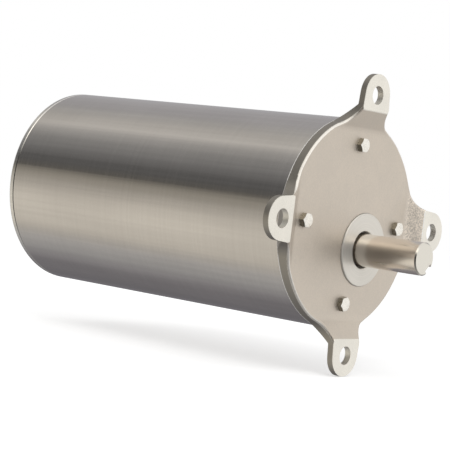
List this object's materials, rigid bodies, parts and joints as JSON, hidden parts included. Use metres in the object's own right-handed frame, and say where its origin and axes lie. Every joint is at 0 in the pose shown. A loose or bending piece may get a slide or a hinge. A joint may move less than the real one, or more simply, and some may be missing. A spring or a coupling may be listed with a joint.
{
  "type": "gear motor",
  "caption": "Offset-shaft gear motor in a round stainless housing, bolted on by a cast flange with lugs; drives a machine from its keyed shaft.",
  "frame": {"origin": "centre of the fixing holes' circle, in the plane of the lugs' machined faces", "axes": "+X along the output shaft, outwards; +Z towards the top lug; +Y towards the lug on the right as seen from the shaft's end"},
  "size_m": [0.371, 0.2278, 0.2278],
  "materials": {
    "flange": "cast stainless, satin, lug faces machined",
    "tube": "brushed round the tube",
    "cover": "brushed",
    "screws": "bright",
    "inner_screws": "zinc plated",
    "gland": "nickel plated",
    "rubber": "matt black",
    "ring": "turned",
    "castings": "as cast, machined where parts fit",
    "laminations": "stacked sheet, varnished",
    "winding": "varnished copper wire",
    "cage": "as cast",
    "shafts": "ground",
    "gears": "ground",
    "keys": "bright drawn",
    "bearings": "ground"
  },
  "bodies": {
    "housing": {"front_flange": "flange", "housing_tube": "tube", "rear_cover": "cover", "flange_bolts": "screws", "rear_cover_screws": "screws", "gear_case_screws": "inner_screws", "tie_bolts": "inner_screws", "gland_body": "gland", "gland_locknut": "gland", "gland_nut": "gland", "flange_o_ring": "rubber", "rear_cover_o_ring": "rubber", "gland_seal": "rubber", "output_shaft_seal": "rubber", "motor_shaft_seal": "rubber", "seal_carrier": "ring", "gear_case": "castings", "middle_plate": "castings", "motor_bracket": "castings", "rear_bracket": "castings", "stator_core": "laminations", "stator_winding": "winding", "output_front_bearing_outer": "bearings", "output_rear_bearing_outer": "bearings", "layshaft_front_bearing_outer": "bearings", "layshaft_rear_bearing_outer": "bearings", "rotor_front_bearing_outer": "bearings", "rotor_rear_bearing_outer": "bearings"},
    "output": {"output_shaft": "shafts", "output_gear": "gears", "output_gear_key": "keys", "output_spacer": "keys", "output_snap_ring": "keys", "output_front_bearing_inner": "bearings", "output_rear_bearing_inner": "bearings"},
    "layshaft": {"layshaft": "shafts", "layshaft_gear": "gears", "layshaft_gear_key": "keys", "layshaft_spacer": "keys", "layshaft_front_bearing_inner": "bearings", "layshaft_rear_bearing_inner": "bearings"},
    "rotor": {"rotor_shaft": "shafts", "rotor_pinion": "gears", "rotor_core": "laminations", "rotor_cage": "cage", "rotor_front_bearing_inner": "bearings", "rotor_rear_bearing_inner": "bearings"}
  },
  "joints": [
    {"name": "rotor_spin", "type": "hinge", "parent": "housing", "child": "rotor", "pos_m": [-0.15, 0, 0], "axis": [1, 0, 0], "continuous": true},
    {"name": "layshaft_spin", "type": "hinge", "parent": "housing", "child": "layshaft", "pos_m": [-0.065, -0.02263, 0.02263], "axis": [1, 0, 0], "continuous": true},
    {"name": "output_spin", "type": "hinge", "parent": "housing", "child": "output", "pos_m": [0, 0.01838, -0.01838], "axis": [1, 0, 0], "continuous": true}
  ],
  "couplings": [
    {"joint": "layshaft_spin", "follows": "rotor_spin", "ratio": -0.42857},
    {"joint": "output_spin", "follows": "rotor_spin", "ratio": 0.13636}
  ]
}
